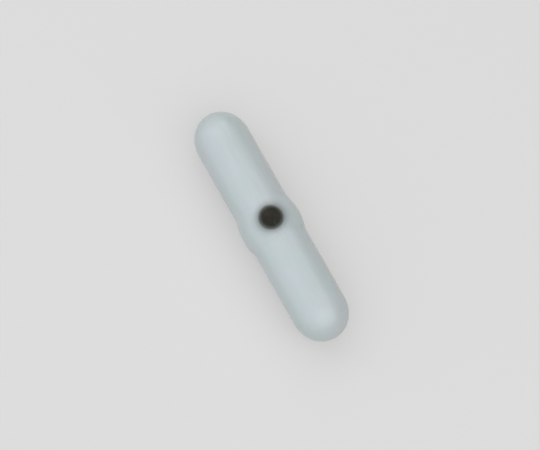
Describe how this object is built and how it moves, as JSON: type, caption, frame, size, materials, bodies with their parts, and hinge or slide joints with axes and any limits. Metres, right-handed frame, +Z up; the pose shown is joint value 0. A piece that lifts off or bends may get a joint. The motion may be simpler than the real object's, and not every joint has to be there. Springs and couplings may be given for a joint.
{
  "type": "magnetic stir bar",
  "caption": "White round-ended magnetic stir bar: a rod magnet sealed in a moulded fluoropolymer jacket, with a raised pivot ring round the middle and a dark round mark on its crown.",
  "frame": {"origin": "the point under the pivot ring on which the bar spins, midway along the bar", "axes": "+X along the bar from its middle to one end, +Z up through the dark mark on the ring's crown"},
  "size_m": [0.038, 0.0092, 0.0092],
  "materials": {
    "jacket": "waxy satin white fluoropolymer",
    "magnet": "ground cast magnet alloy",
    "mark": "dull dark inlay"
  },
  "bodies": {
    "root": {"jacket": "jacket", "magnet": "magnet", "centre_mark": "mark"}
  },
  "joints": []
}
